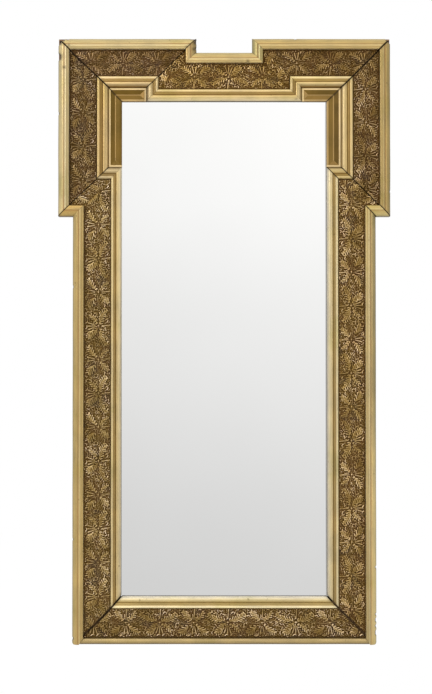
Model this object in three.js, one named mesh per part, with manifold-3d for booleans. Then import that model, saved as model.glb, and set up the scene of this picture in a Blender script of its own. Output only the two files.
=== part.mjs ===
// Pier mirror: a tall gilt wall mirror with outset upper corners ("ears") and a step down
// in the middle of its top. Millimetres. X to the right, Z up, and the face looks along -Y.
// The origin is on the wall plane, behind the middle of the mirror.

import * as THREE from "three";
import { ConvexGeometry } from "three/addons/geometries/ConvexGeometry.js";
import { mergeVertices } from "three/addons/utils/BufferGeometryUtils.js";
import Module from "manifold-3d";

const wasm = await Module();
wasm.setup();

// ---------------------------------------------------------------- driving sizes

const seam = 0.3; // glue line or fitting gap between pieces that touch
const openMitre = 1.6; // width of a mitre that has shrunk open
const closedMitre = 0.4; // width of a mitre that has stayed shut

// Outline
const overallWidth = 940; // across the ears
const overallHeight = 1710;
const earProjection = 42; // how far an ear stands out beyond the stile below it
const earHeight = 506;
const notchWidth = 156; // the step down in the middle of the top
const notchDepth = 39;

// Face widths of the three strips, from the outline in to the glass
const outerWidth = 29;
const friezeWidth = 77;
const innerWidth = 34;
const baseStripWidth = 18; // the plain strip under the base frieze
const baseFriezeWidth = 83;

// Depths, from the wall forwards
const boardThickness = 12;
const carcassThickness = 22;

// Heights in front of the carcass
const outerHeight = 30;
const outerEdgeHeight = 13;
const friezeHeight = 12;
const friezeCrown = 2;
const innerHeight = 20;
const lipHeight = 8;
const baseStripHeight = 24;
const panelHeight = 8;

// Profile details
const grooveAt = 12.5; // the groove of the outer moulding, in from its edge
const grooveDepth = 3;
const edgeRound = 6; // fullness of the outer moulding's two rounds
const beadWidth = 7; // the bead of the inner moulding, beside the frieze
const filletWidth = 4;
const quirkWidth = 1.4;
const quirkDepth = 3;
const ogeeBend = 7; // how far each half of the inner moulding's ogee bows
const baseStripRound = 6;
const panelFillet = 5; // flat margin round a corner panel's sunk field
const panelSink = 5.5;

// Mirror plate and its rabbet
const plateThickness = 5;
const rabbetCover = 15; // how far the inner moulding laps over the plate
const plateClearance = 2; // between the plate's edge and the carcass
const filletAcross = 14; // the glazing fillets that hold the plate forward
const filletToe = 5; // thickness of a glazing fillet's thin edge

// Carcass and back
const carcassSetback = 1.5; // the carcass lies this far inside the outline
const boardCount = 5;
const boardLap = 20; // how far the boards lap over the carcass
const boardGap = 1.5;

// Ring hangers
const hangerDrop = 420; // the hanger's eye below the top of the ears
const ringRadius = 19; // to the middle of the wire
const ringWire = 2; // the wire's radius
const eyeClearance = 0.8;
const strapThickness = 1.6;
const strapWidth = 16;
const strapLength = 56;
const eyeWidth = 8;
const neckLength = 7;
const shoulderLength = 6;
const screwHeadRadius = 3.6;
const screwShankRadius = 1.7;
const screwHeadDepth = 1.4;
const screwLength = 16;
const screwSlotWidth = 0.8;
const screwSlotDepth = 0.6;
const screwPitch = 24; // between a strap's two screws
const screwEdge = 9; // the lower screw above the strap's foot

// Straight lines or sides that stand for each curve
const curveSteps = 6; // a quadratic curve of a moulding
const footSteps = 10; // the strap's round foot
const eyeSteps = 12; // half of the strap's rolled eye
const screwSides = 20;
const wireSides = 10;
const ringSides = 40;

// ---------------------------------------------------------------- derived places

const top = overallHeight / 2;
const bottom = -top;
const earHalf = overallWidth / 2;
const bodyHalf = earHalf - earProjection;
const notchHalf = notchWidth / 2;
const earBottom = top - earHeight;
const innerAt = outerWidth + friezeWidth;
const bandWidth = innerAt + innerWidth;
const baseInnerAt = baseStripWidth + baseFriezeWidth;
const baseHeight = baseInnerAt + innerWidth;
const sightHalf = bodyHalf - bandWidth;
const sightTop = top - notchDepth - bandWidth;
const sightBottom = bottom + baseHeight;

const carcassBack = -boardThickness - seam;
const carcassFront = carcassBack - carcassThickness;
const lapMiddle = (carcassFront + carcassBack) / 2;
const faceBack = carcassFront - seam; // the plane that the strips are glued to
const carcassHalf = bodyHalf - carcassSetback;
const carcassTop = top - carcassSetback;
const carcassBottom = bottom + carcassSetback;

const plateBack = carcassFront + plateThickness;
const plateHalf = sightHalf + rabbetCover;
const plateTop = sightTop + rabbetCover;
const plateBottom = sightBottom - rabbetCover;
const rabbetHalf = plateHalf + plateClearance;
const rabbetTop = plateTop + plateClearance;
const rabbetBottom = plateBottom - plateClearance;

const boardHalf = rabbetHalf + boardLap;
const boardSpan = rabbetTop - rabbetBottom + 2 * boardLap;
const boardHeight = (boardSpan - (boardCount - 1) * boardGap) / boardCount;

const strapFront = carcassBack + seam; // where the straps lie on the stiles
const eyeHole = ringWire + eyeClearance;
const eyeRadius = eyeHole + strapThickness;
const eyeZ = top - hangerDrop;
const hangerX = (boardHalf + carcassHalf) / 2;

// ---------------------------------------------------------------- finishes

const finish = (color, roughness, metalness) => ({ color, roughness, metalness });
const gilt = finish(0xbf9d5c, 0.42, 0.85);
const bronzedGilt = finish(0x7a6242, 0.5, 0.6);
const oldPine = finish(0x8c6a42, 0.85, 0);
const silveredGlass = finish(0xe6e9ea, 0.04, 1);
const brass = finish(0x9a7c45, 0.45, 0.9);
const iron = finish(0x3f3a36, 0.6, 0.8);

function named(name, geometry, look) {
  const mesh = new THREE.Mesh(geometry, new THREE.MeshStandardMaterial(look));
  mesh.name = name;
  return mesh;
}

// ---------------------------------------------------------------- solids

function bare(geometry) {
  const copy = geometry.clone();
  copy.deleteAttribute("normal");
  copy.deleteAttribute("uv");
  return mergeVertices(copy, 1e-4);
}

function solid(geometry) {
  const merged = bare(geometry);
  return new wasm.Manifold(
    new wasm.Mesh({
      numProp: 3,
      vertProperties: new Float32Array(merged.attributes.position.array),
      triVerts: new Uint32Array(merged.index.array),
    }),
  );
}

function geometryOf(manifold) {
  const mesh = manifold.getMesh();
  const geometry = new THREE.BufferGeometry();
  geometry.setAttribute("position", new THREE.BufferAttribute(mesh.vertProperties, 3));
  geometry.setIndex(new THREE.BufferAttribute(mesh.triVerts, 1));
  return geometry;
}

const cut = (geometry, cutters) =>
  geometryOf(cutters.reduce((left, cutter) => left.subtract(solid(cutter)), solid(geometry)));

const join = (first, second) => geometryOf(solid(first).add(solid(second)));

// A box given by its low and high places along each axis.
function box([x0, x1], [y0, y1], [z0, z1]) {
  const shape = new THREE.BoxGeometry(x1 - x0, y1 - y0, z1 - z0);
  return shape.translate((x0 + x1) / 2, (y0 + y1) / 2, (z0 + z1) / 2);
}

// ---------------------------------------------------------------- moulding profiles
// A profile is drawn with x from its outer edge in towards the glass, and y forwards.

function outerProfile(width) {
  const shape = new THREE.Shape();
  const crest = outerHeight - edgeRound / 2;
  const groove = outerHeight - grooveDepth;
  shape.moveTo(0, 0);
  shape.lineTo(width, 0);
  shape.lineTo(width, crest - edgeRound);
  shape.quadraticCurveTo(width, outerHeight, width - edgeRound, outerHeight);
  shape.quadraticCurveTo(grooveAt + quirkWidth, outerHeight, grooveAt, groove);
  shape.quadraticCurveTo(edgeRound / 2, crest, 0, outerEdgeHeight);
  shape.closePath();
  return shape;
}

function friezeProfile(width) {
  const shape = new THREE.Shape();
  shape.moveTo(0, 0);
  shape.lineTo(width, 0);
  shape.lineTo(width, friezeHeight);
  shape.quadraticCurveTo(width / 2, friezeHeight + 2 * friezeCrown, 0, friezeHeight);
  shape.closePath();
  return shape;
}

function innerProfile(width) {
  const filletAt = beadWidth + quirkWidth;
  const ogeeAt = filletAt + filletWidth + quirkWidth;
  const filletHeight = innerHeight - quirkDepth / 2;
  const quirkHeight = filletHeight - quirkDepth;
  const ogeeMiddle = (ogeeAt + width) / 2;
  const shape = new THREE.Shape();
  shape.moveTo(0, 0);
  shape.lineTo(width, 0);
  shape.lineTo(width, lipHeight);
  shape.quadraticCurveTo(
    width - ogeeBend, lipHeight, ogeeMiddle, (lipHeight + filletHeight) / 2);
  shape.quadraticCurveTo(ogeeAt + ogeeBend, filletHeight, ogeeAt, filletHeight);
  shape.lineTo(ogeeAt - quirkWidth / 2, quirkHeight);
  shape.lineTo(filletAt + filletWidth, filletHeight);
  shape.lineTo(filletAt, filletHeight);
  shape.lineTo(filletAt - quirkWidth / 2, quirkHeight);
  shape.lineTo(beadWidth, innerHeight - beadWidth / 2);
  shape.quadraticCurveTo(beadWidth, innerHeight, beadWidth / 2, innerHeight);
  shape.quadraticCurveTo(0, innerHeight, 0, innerHeight - beadWidth / 2);
  shape.closePath();
  return shape;
}

function baseStripProfile(width) {
  const shape = new THREE.Shape();
  const shoulder = baseStripHeight - baseStripRound;
  shape.moveTo(0, 0);
  shape.lineTo(width, 0);
  shape.lineTo(width, shoulder);
  shape.quadraticCurveTo(width, baseStripHeight, width - baseStripRound, baseStripHeight);
  shape.quadraticCurveTo(0, baseStripHeight, 0, shoulder);
  shape.closePath();
  return shape;
}

function panelProfile(width) {
  const shape = new THREE.Shape();
  shape.moveTo(0, 0);
  shape.lineTo(width, 0);
  shape.lineTo(width, panelHeight);
  shape.lineTo(0, panelHeight);
  shape.closePath();
  return shape;
}

// ---------------------------------------------------------------- runs of moulding
// A run carries a profile through stops on the XZ plane, anticlockwise round the glass, with
// its back on the plane y = back. At each stop the section lies on a line that moves on by
// offset, and by slope for each millimetre across; a run's two ends stand off theirs by gap.

function run(profile, [x0, x1], stops, back = faceBack) {
  const drawn = profile(x1 - x0).extractPoints(curveSteps).shape;
  const section = drawn.filter((point, i) => i === 0 || point.distanceTo(drawn[i - 1]) > 1e-6);
  if (section[0].distanceTo(section.at(-1)) < 1e-6) section.pop();
  if (THREE.ShapeUtils.isClockWise(section)) section.reverse();
  const places = stops.flatMap((stop, i) => {
    const last = i === stops.length - 1;
    const [from, to] = last ? [stops[i - 1].at, stop.at] : [stop.at, stops[i + 1].at];
    const length = Math.hypot(to[0] - from[0], to[1] - from[1]);
    const [ax, az] = [(to[0] - from[0]) / length, (to[1] - from[1]) / length];
    const { slope, offset, gap } = stop.line;
    const standOff = i === 0 || last ? gap * Math.hypot(1, slope) : 0;
    return section.flatMap(({ x, y }) => {
      const across = x + x0;
      const inset = (offset + slope * across + standOff) * (last ? -1 : 1);
      return [stop.at[0] + ax * inset - az * across, back - y, stop.at[1] + az * inset + ax * across];
    });
  });
  const count = section.length;
  const cap = THREE.ShapeUtils.triangulateShape(section, []);
  const faces = cap.flatMap(([a, b, c]) => [a, c, b]);
  const lastRing = (stops.length - 1) * count;
  faces.push(...cap.flat().map((corner) => corner + lastRing));
  for (let ring = 0; ring < lastRing; ring += count) {
    for (let j = 0; j < count; j++) {
      const a = ring + j;
      const b = ring + ((j + 1) % count);
      faces.push(a, b, b + count, a, b + count, a + count);
    }
  }
  const geometry = new THREE.BufferGeometry();
  geometry.setAttribute("position", new THREE.Float32BufferAttribute(places, 3));
  geometry.setIndex(faces);
  return geometry;
}

// ---------------------------------------------------------------- the face
// The outline's corners, anticlockwise from the foot of the right stile. A corner that points
// outwards is mitred in, and one that points inwards is mitred out.

const mitre = (slope, width) => ({ slope, offset: 0, gap: width / 2 });
const square = (offset, gap) => ({ slope: 0, offset, gap });

// The base is lower than the stiles are wide, so its mitres start at the glass's corner.
const stileFoot = { slope: 1, offset: baseHeight - bandWidth, gap: openMitre / 2 };
const baseEnd = { slope: 1, offset: bandWidth - baseHeight, gap: openMitre / 2 };

const outline = [
  { at: [bodyHalf, bottom], line: stileFoot, next: "right_stile" },
  { at: [bodyHalf, earBottom], line: mitre(-1, openMitre), next: "right_return" },
  { at: [earHalf, earBottom], line: mitre(1, openMitre), next: "right_ear" },
  { at: [earHalf, top], line: mitre(1, openMitre), next: "top_right" },
  { at: [notchHalf, top], line: mitre(1, closedMitre), next: "notch_right" },
  { at: [notchHalf, top - notchDepth], line: mitre(-1, closedMitre), next: "top_centre" },
  { at: [-notchHalf, top - notchDepth], line: mitre(-1, closedMitre), next: "notch_left" },
  { at: [-notchHalf, top], line: mitre(1, openMitre), next: "top_left" },
  { at: [-earHalf, top], line: mitre(1, openMitre), next: "left_ear" },
  { at: [-earHalf, earBottom], line: mitre(1, openMitre), next: "left_return" },
  { at: [-bodyHalf, earBottom], line: mitre(-1, closedMitre), next: "left_stile" },
  { at: [-bodyHalf, bottom], line: stileFoot },
];

const lengths = outline.slice(0, -1).map(({ next }, i) => [next, outline.slice(i, i + 2)]);

// The stiles' outer mouldings run down past the base, and are sawn off square.
const sawnOff = (stops) =>
  stops.map((stop) => (stop.line === stileFoot ? { ...stop, line: square(0, 0) } : stop));

const outerMouldings = () =>
  lengths.map(([name, stops]) => {
    const moulding = run(outerProfile, [0, outerWidth - seam / 2], sawnOff(stops));
    return named(`outer_moulding_${name}`, moulding, gilt);
  });

const innerMouldings = () =>
  lengths.map(([name, stops]) => {
    const moulding = run(innerProfile, [innerAt + seam / 2, bandWidth], stops);
    return named(`inner_moulding_${name}`, moulding, gilt);
  });

// The frieze turns the small corners in one piece: from a stile on under its ear, and round
// the notch. Each band runs from one of these corners of the outline to the next.
const friezeJoints = {
  right_stile: [0, 2],
  right_ear: [2, 3],
  top_right: [3, 4],
  top_centre: [4, 7],
  top_left: [7, 8],
  left_ear: [8, 9],
  left_stile: [9, 11],
};

const friezes = () =>
  Object.entries(friezeJoints).map(([name, [first, last]]) => {
    const across = [outerWidth + seam / 2, innerAt - seam / 2];
    const band = run(friezeProfile, across, outline.slice(first, last + 1));
    return named(`frieze_${name}`, band, bronzedGilt);
  });

// The base butts against the stiles' outer mouldings below its mitres.
function base() {
  const between = (line) => [
    { at: [-bodyHalf, bottom], line },
    { at: [bodyHalf, bottom], line },
  ];
  const butt = between(square(outerWidth, seam / 2));
  const baseStrip = run(baseStripProfile, [0, baseStripWidth - seam / 2], butt);
  const friezeAcross = [baseStripWidth + seam / 2, baseInnerAt - seam / 2];
  const past = (x) => box([x - outerWidth - seam, x + outerWidth + seam], [-top, 0], [bottom, top]);
  const frieze = cut(run(friezeProfile, friezeAcross, between(baseEnd)), [
    past(-bodyHalf),
    past(bodyHalf),
  ]);
  const inner = run(innerProfile, [baseInnerAt + seam / 2, baseHeight], between(baseEnd));
  return [
    named("base_strip", baseStrip, gilt),
    named("frieze_base", frieze, bronzedGilt),
    named("inner_moulding_base", inner, gilt),
  ];
}

// ---------------------------------------------------------------- corner panels
// Each ear leaves an L of board beside the glass: a level and an upright panel, mitred
// together, each with a sunk field that falls to a valley and is hipped at its square end.

function panel(name, from, to, width, mitreRun, mitredAt) {
  const mitred = { slope: mitreRun / width, offset: 0, gap: seam / 2 };
  const lines = mitredAt === "start" ? [mitred, square(0, seam)] : [square(0, seam), mitred];
  const board = run(panelProfile, [seam, width], [
    { at: from, line: lines[0] },
    { at: to, line: lines[1] },
  ]);
  return named(name, cut(board, [sunkField(from, to, width, mitredAt)]), gilt);
}

// The wedge taken out of a panel, drawn on up past its face and out past its mitred end.
function sunkField(from, to, width, mitredAt) {
  const [foot, end] = mitredAt === "start" ? [to, from] : [from, to];
  const turn = mitredAt === "start" ? -1 : 1;
  const length = Math.hypot(end[0] - foot[0], end[1] - foot[1]);
  const [ax, az] = [(end[0] - foot[0]) / length, (end[1] - foot[1]) / length];
  const low = seam + panelFillet;
  const high = width - panelFillet;
  const half = (high - low) / 2;
  const points = [
    [low - half, panelHeight + panelSink, low - half],
    [high + half, panelHeight + panelSink, low - half],
    [low - half, panelHeight + panelSink, 2 * length],
    [high + half, panelHeight + panelSink, 2 * length],
    [low + half, panelHeight - panelSink, low + half],
    [low + half, panelHeight - panelSink, 2 * length],
  ];
  return new ConvexGeometry(points.map(([across, height, on]) =>
    new THREE.Vector3(
      foot[0] + ax * on - turn * az * across,
      faceBack - height,
      foot[1] + az * on + turn * ax * across)));
}

function cornerPanels() {
  const side = earHalf - bandWidth; // the panels' outer lines, along the inner mouldings
  const head = top - bandWidth;
  const foot = earBottom + bandWidth;
  const step = notchHalf + bandWidth;
  const [w, h] = [earProjection, notchDepth];
  return [
    panel("panel_right_upright", [side, foot], [side, head], w, h, "end"),
    panel("panel_right_level", [side, head], [step, head], h, w, "start"),
    panel("panel_left_level", [-step, head], [-side, head], h, w, "end"),
    panel("panel_left_upright", [-side, head], [-side, foot], w, h, "start"),
  ];
}

// ---------------------------------------------------------------- plate and glazing

const plate = () =>
  named("mirror_plate",
    box([-plateHalf, plateHalf], [carcassFront, plateBack], [plateBottom, plateTop]),
    silveredGlass);

function filletProfile(width) {
  const height = carcassBack - plateBack - seam;
  return new THREE.Shape([
    new THREE.Vector2(0, 0),
    new THREE.Vector2(width / 2, 0),
    new THREE.Vector2(width, height - filletToe),
    new THREE.Vector2(width, height),
    new THREE.Vector2(0, height),
  ]);
}

function glazingFillets() {
  const line = mitre(1, closedMitre);
  const corners = [
    [rabbetHalf, rabbetBottom],
    [rabbetHalf, rabbetTop],
    [-rabbetHalf, rabbetTop],
    [-rabbetHalf, rabbetBottom],
  ];
  return ["right", "top", "left", "base"].map((name, i) => {
    const stops = [corners[i], corners[(i + 1) % 4]].map((at) => ({ at, line }));
    const fillet = run(filletProfile, [seam, filletAcross], stops, carcassBack);
    return named(`glazing_fillet_${name}`, fillet, oldPine);
  });
}

// ---------------------------------------------------------------- backboards

const boards = () =>
  Array.from({ length: boardCount }, (_, i) => {
    const high = rabbetTop + boardLap - i * (boardHeight + boardGap);
    const board = box([-boardHalf, boardHalf], [-boardThickness, 0], [high - boardHeight, high]);
    return named(`backboard_${i + 1}`, board, oldPine);
  });

// ---------------------------------------------------------------- ring hangers
// A hanger is drawn with its origin on the stile's back, level with the eye's centre.

const screwDrops = [strapLength - screwEdge, strapLength - screwEdge - screwPitch];

// A countersunk screw with its head flush in the strap, or with grow the hole that clears it.
function screw(grow) {
  const shank = screwShankRadius + grow;
  const head = screwHeadRadius + grow;
  const tip = -screwLength - grow;
  const profile = [
    [0, tip],
    [shank, tip + screwShankRadius],
    [shank, -screwHeadDepth],
    [head, 0],
  ];
  profile.push(...(grow ? [[head, grow], [0, grow]] : [[0, 0]]));
  return new THREE.LatheGeometry(profile.map(([r, y]) => new THREE.Vector2(r, y)), screwSides);
}

function slottedScrew() {
  const across = [-screwHeadRadius, screwHeadRadius];
  const slot = [-screwSlotWidth / 2, screwSlotWidth / 2];
  return cut(screw(0), [box(across, [-screwSlotDepth, screwSlotDepth], slot)]);
}

const screwHoles = () => screwDrops.map((drop) => screw(seam).translate(0, strapThickness, -drop));

// A plate with a round foot and a narrow neck, whose top end is rolled into the ring's eye.
function hangerStrap() {
  const half = strapWidth / 2;
  const neck = eyeWidth / 2;
  const shoulder = neckLength + shoulderLength;
  const plan = new THREE.Shape();
  plan.moveTo(neck, 0);
  plan.lineTo(-neck, 0);
  plan.lineTo(-neck, -neckLength);
  plan.lineTo(-half, -shoulder);
  plan.lineTo(-half, half - strapLength);
  plan.absarc(0, half - strapLength, half, Math.PI, 2 * Math.PI);
  plan.lineTo(half, -shoulder);
  plan.lineTo(neck, -neckLength);
  plan.closePath();
  const leafDepth = { depth: strapThickness, bevelEnabled: false, curveSegments: footSteps };
  const leaf = new THREE.ExtrudeGeometry(plan, leafDepth);
  leaf.rotateX(Math.PI / 2).translate(0, strapThickness, 0);
  const roll = new THREE.Shape().absarc(0, 0, eyeRadius, 0, 2 * Math.PI);
  roll.holes.push(new THREE.Path().absarc(0, 0, eyeHole, 0, 2 * Math.PI));
  const eyeDepth = { depth: eyeWidth, bevelEnabled: false, curveSegments: eyeSteps };
  const eye = new THREE.ExtrudeGeometry(roll, eyeDepth);
  eye.rotateY(Math.PI / 2).translate(-neck, eyeRadius, 0);
  return cut(join(leaf, eye), screwHoles());
}

function hanger(side, x) {
  const set = new THREE.Group();
  set.position.set(x, strapFront, eyeZ);
  set.add(named(`hanger_strap_${side}`, hangerStrap(), brass));
  const torus = new THREE.TorusGeometry(ringRadius, ringWire, wireSides, ringSides);
  const ring = named(`hanger_ring_${side}`, torus, brass);
  ring.rotation.x = Math.PI / 2;
  ring.position.set(0, eyeRadius, -ringRadius);
  set.add(ring);
  screwDrops.forEach((drop, i) => {
    const fixing = named(`hanger_screw_${side}_${i ? "upper" : "lower"}`, slottedScrew(), iron);
    fixing.position.set(0, strapThickness, -drop);
    set.add(fixing);
  });
  return set;
}

// ---------------------------------------------------------------- carcass
// Halved together: the rails keep their front half over the stiles, and these their back half.

const sided = (side, range) => range.map((x) => side * x).sort((a, b) => a - b);

function stile(name, side) {
  const whole = box(
    sided(side, [rabbetHalf, carcassHalf]),
    [carcassFront, carcassBack],
    [carcassBottom, carcassTop]);
  const wide = sided(side, [rabbetHalf - seam, carcassHalf + seam]);
  const front = [carcassFront - seam, lapMiddle + seam / 2];
  const holes = screwHoles().map((hole) => hole.translate(side * hangerX, strapFront, eyeZ));
  return named(name, cut(whole, [
    box(wide, front, [rabbetTop - seam, top]),
    box(wide, front, [bottom, rabbetBottom + seam]),
    ...holes,
  ]), oldPine);
}

// The pockets at the back of a rail that take the stiles.
const stilePockets = () =>
  [-1, 1].map((side) =>
    box(
      sided(side, [rabbetHalf - seam, carcassHalf + seam]),
      [lapMiddle - seam / 2, 0],
      [bottom, top]));

function topRail() {
  const ears = earHalf - carcassSetback;
  const notch = notchHalf + carcassSetback;
  const whole = box([-ears, ears], [carcassFront, carcassBack], [rabbetTop, carcassTop]);
  const step = box([-notch, notch], [carcassFront - seam, 0], [carcassTop - notchDepth, top]);
  return named("carcass_top_rail", cut(whole, [step, ...stilePockets()]), oldPine);
}

function baseRail() {
  const across = [-carcassHalf, carcassHalf];
  const whole = box(across, [carcassFront, carcassBack], [carcassBottom, rabbetBottom]);
  return named("carcass_base_rail", cut(whole, stilePockets()), oldPine);
}

function earBlock(name, side) {
  const across = sided(side, [carcassHalf + seam, earHalf - carcassSetback]);
  const up = [earBottom + carcassSetback, rabbetTop - seam];
  return named(name, box(across, [carcassFront, carcassBack], up), oldPine);
}

// ---------------------------------------------------------------- the mirror

export default new THREE.Group().add(
  ...outerMouldings(),
  ...friezes(),
  ...innerMouldings(),
  ...base(),
  ...cornerPanels(),
  plate(),
  ...glazingFillets(),
  stile("carcass_left_stile", -1),
  stile("carcass_right_stile", 1),
  topRail(),
  baseRail(),
  earBlock("ear_block_left", -1),
  earBlock("ear_block_right", 1),
  ...boards(),
  hanger("left", -hangerX),
  hanger("right", hangerX),
);
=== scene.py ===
# Pier mirror: a tall gilt wall mirror with outset upper corners ("ears") and a step down in
# the middle of its top. Pressed foliage runs between two gilt mouldings; the back is bare pine.
# Lengths are in millimetres here and turn into metres where a mesh is made. X is to the
# right, Z up, and the face looks along -Y, away from the wall.

import math

import bpy
import numpy as np
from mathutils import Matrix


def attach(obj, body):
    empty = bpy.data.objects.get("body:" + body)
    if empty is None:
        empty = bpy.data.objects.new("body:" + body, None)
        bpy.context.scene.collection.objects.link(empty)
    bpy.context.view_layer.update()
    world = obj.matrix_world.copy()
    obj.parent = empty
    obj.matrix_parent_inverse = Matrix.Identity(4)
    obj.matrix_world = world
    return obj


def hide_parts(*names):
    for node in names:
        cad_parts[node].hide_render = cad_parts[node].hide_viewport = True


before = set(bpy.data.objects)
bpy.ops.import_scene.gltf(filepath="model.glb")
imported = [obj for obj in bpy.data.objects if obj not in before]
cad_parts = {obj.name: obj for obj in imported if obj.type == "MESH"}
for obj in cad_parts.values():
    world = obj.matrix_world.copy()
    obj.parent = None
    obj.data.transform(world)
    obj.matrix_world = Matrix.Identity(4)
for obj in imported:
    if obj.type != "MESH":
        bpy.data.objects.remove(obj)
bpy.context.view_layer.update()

MM = 0.001
FRAME_BODY = "frame"

# ---- camera

CAMERA_LENS = 81.97
CAMERA_PITCH = math.radians(1.1)
CAMERA_PLACE = (-0.0231, -4.5, -0.105)


def place_in_scene(name, data):
    """A new object of the scene."""
    thing = bpy.data.objects.new(name, data)
    bpy.context.scene.collection.objects.link(thing)
    return thing


def add_camera():
    data = bpy.data.cameras.new("camera")
    data.lens = CAMERA_LENS
    camera = place_in_scene("camera", data)
    camera.location = CAMERA_PLACE
    camera.rotation_euler = (math.pi / 2 + CAMERA_PITCH, 0, 0)
    bpy.context.scene.camera = camera


add_camera()

# ---- sizes

EAR_HALF = 470
BODY_HALF = 428
TOP = 855
BOTTOM = -855
EAR_BOTTOM = 349
NOTCH_HALF = 78
NOTCH_DEPTH = 39
OUTER_WIDTH = 30.2
FRIEZE_WIDTH = 75.8
INNER_AT = 106
BAND_WIDTH = 140
BASE_STRIP_WIDTH = 18
BASE_INNER_AT = 101
BASE_HEIGHT = 135
FACE_BACK = -34.6  # the plane that the strips are glued to
SEAM = 0.3
FRIEZE_HEIGHT = 12  # at the band's edges, and how much higher its middle is
FRIEZE_CROWN = 2
PANEL_HEIGHT = 8
PANEL_MARGIN = 5.5
PANEL_SINK = 5.5

FOOT_GAP = 4.2  # the mitres at the foot have shrunk open
SHUT = 0.15  # the width of a mitre that has not

# ---- paint


def srgb(red, green, blue):
    """A colour as it looks on a screen, 0 to 255, as the shaders take it."""
    shares = [value / 255 for value in (red, green, blue)]
    return tuple(((s + 0.055) / 1.055) ** 2.4 if s > 0.04 else s / 12.92 for s in shares) + (1.0,)


class Wire:
    """A node's output. Arithmetic on it adds the Math nodes."""

    def __init__(self, paint, socket):
        self.paint = paint
        self.socket = socket

    def math(self, operation, *others):
        values = dict(enumerate((self, *others)))
        return self.paint.node("Math", {"operation": operation}, values)

    def __add__(self, other):
        return self.math("ADD", other)

    def __sub__(self, other):
        return self.math("SUBTRACT", other)

    def __rsub__(self, other):
        return self.paint.node("Math", {"operation": "SUBTRACT"}, {0: other, 1: self})

    def __mul__(self, other):
        return self.math("MULTIPLY", other)

    __radd__ = __add__
    __rmul__ = __mul__

    def between(self, low, high):
        """0 up to low, 1 from high on, and smooth between."""
        settings = {"interpolation_type": "SMOOTHSTEP"}
        return self.paint.node("MapRange", settings, {"Value": self, 1: low, 2: high})


class Paint:
    """The nodes of one material, or of the world."""

    def __init__(self, owner):
        owner.use_nodes = True
        self.nodes = owner.node_tree.nodes
        self.links = owner.node_tree.links
        self.nodes.clear()

    def node(self, kind, settings=None, values=None, output=0):
        made = self.nodes.new("ShaderNode" + kind)
        for name, value in (settings or {}).items():
            if name == "stops":
                self.fill_ramp(made.color_ramp, value)
            else:
                setattr(made, name, value)
        for key, value in (values or {}).items():
            if isinstance(value, Wire):
                self.links.new(value.socket, made.inputs[key])
            else:
                made.inputs[key].default_value = value
        return Wire(self, made.outputs[output]) if made.outputs else None

    @staticmethod
    def fill_ramp(ramp, stops):
        while len(ramp.elements) < len(stops):
            ramp.elements.new(1.0)
        for element, (place, colour) in zip(ramp.elements, stops):
            element.position = place
            element.color = colour

    def ramp(self, factor, stops):
        return self.node("ValToRGB", {"stops": stops}, {"Fac": factor}, "Color")

    def mix(self, factor, first, second, how="MIX"):
        settings = {"data_type": "RGBA", "blend_type": how}
        return self.node("Mix", settings, {0: factor, 6: first, 7: second}, 2)

    def tint(self, first, second, share=1.0):
        """A colour times another one, or a share of the way there."""
        return self.mix(share, first, second, "MULTIPLY")

    def attribute(self, name, output="Fac"):
        return self.node("Attribute", {"attribute_name": name}, output=output)

    def place(self):
        return self.node("TexCoord", output="Object")

    def stretched(self, vector, scale):
        return self.node("VectorMath", {"operation": "MULTIPLY"}, {0: vector, 1: scale})

    def noise(self, vector, scale, detail, roughness=0.55):
        values = {"Vector": vector, "Scale": scale, "Detail": detail, "Roughness": roughness}
        return self.node("TexNoise", values=values)

    def spots(self, scale, detail):
        """Noise with no grain."""
        return self.noise(self.place(), scale, detail)

    def bump(self, height, strength, distance):
        return self.node("Bump", values={
            "Height": height, "Strength": strength, "Distance": distance})

    def surface(self, values):
        shader = self.node("BsdfPrincipled", values=values)
        self.node("OutputMaterial", values={"Surface": shader})


def material(name):
    made = bpy.data.materials.new(name)
    return made, Paint(made)


# ---- mouldings' shapes


class Profile:
    """A moulding's front from its outer edge in. Each row is the place across, the height in
    front of the plane that it is glued to, and the colour there: the leaf's own, with painted
    light and shade in it."""

    def __init__(self, rows):
        self.front = np.array([row[:2] for row in rows], float)
        steps = np.hypot(*np.diff(self.front, axis=0).T)
        self.girth = np.append(0, np.cumsum(steps))
        self.shape = (self.front, self.girth)
        self.bands = [(g / self.girth[-1], srgb(*row[2:])) for g, row in zip(self.girth, rows)]

    def at(self, across):
        return float(np.interp(across, self.front[:, 0], self.girth))

    def painted_shading(self, start, end, colour, roll=16.5):
        """The leaf's colours, with those of the broad roll, which begins at a place across, turning
        from a start to an end into another colour: painted shade on the roll."""
        across = self.front[:, 0]
        shares = np.where(across > roll, np.clip((across - start) / (end - start), 0, 1), 0)
        return [(place, tuple(a + (b - a) * share for a, b in zip(leaf, colour)))
                for (place, leaf), share in zip(self.bands, shares.tolist())]


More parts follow.
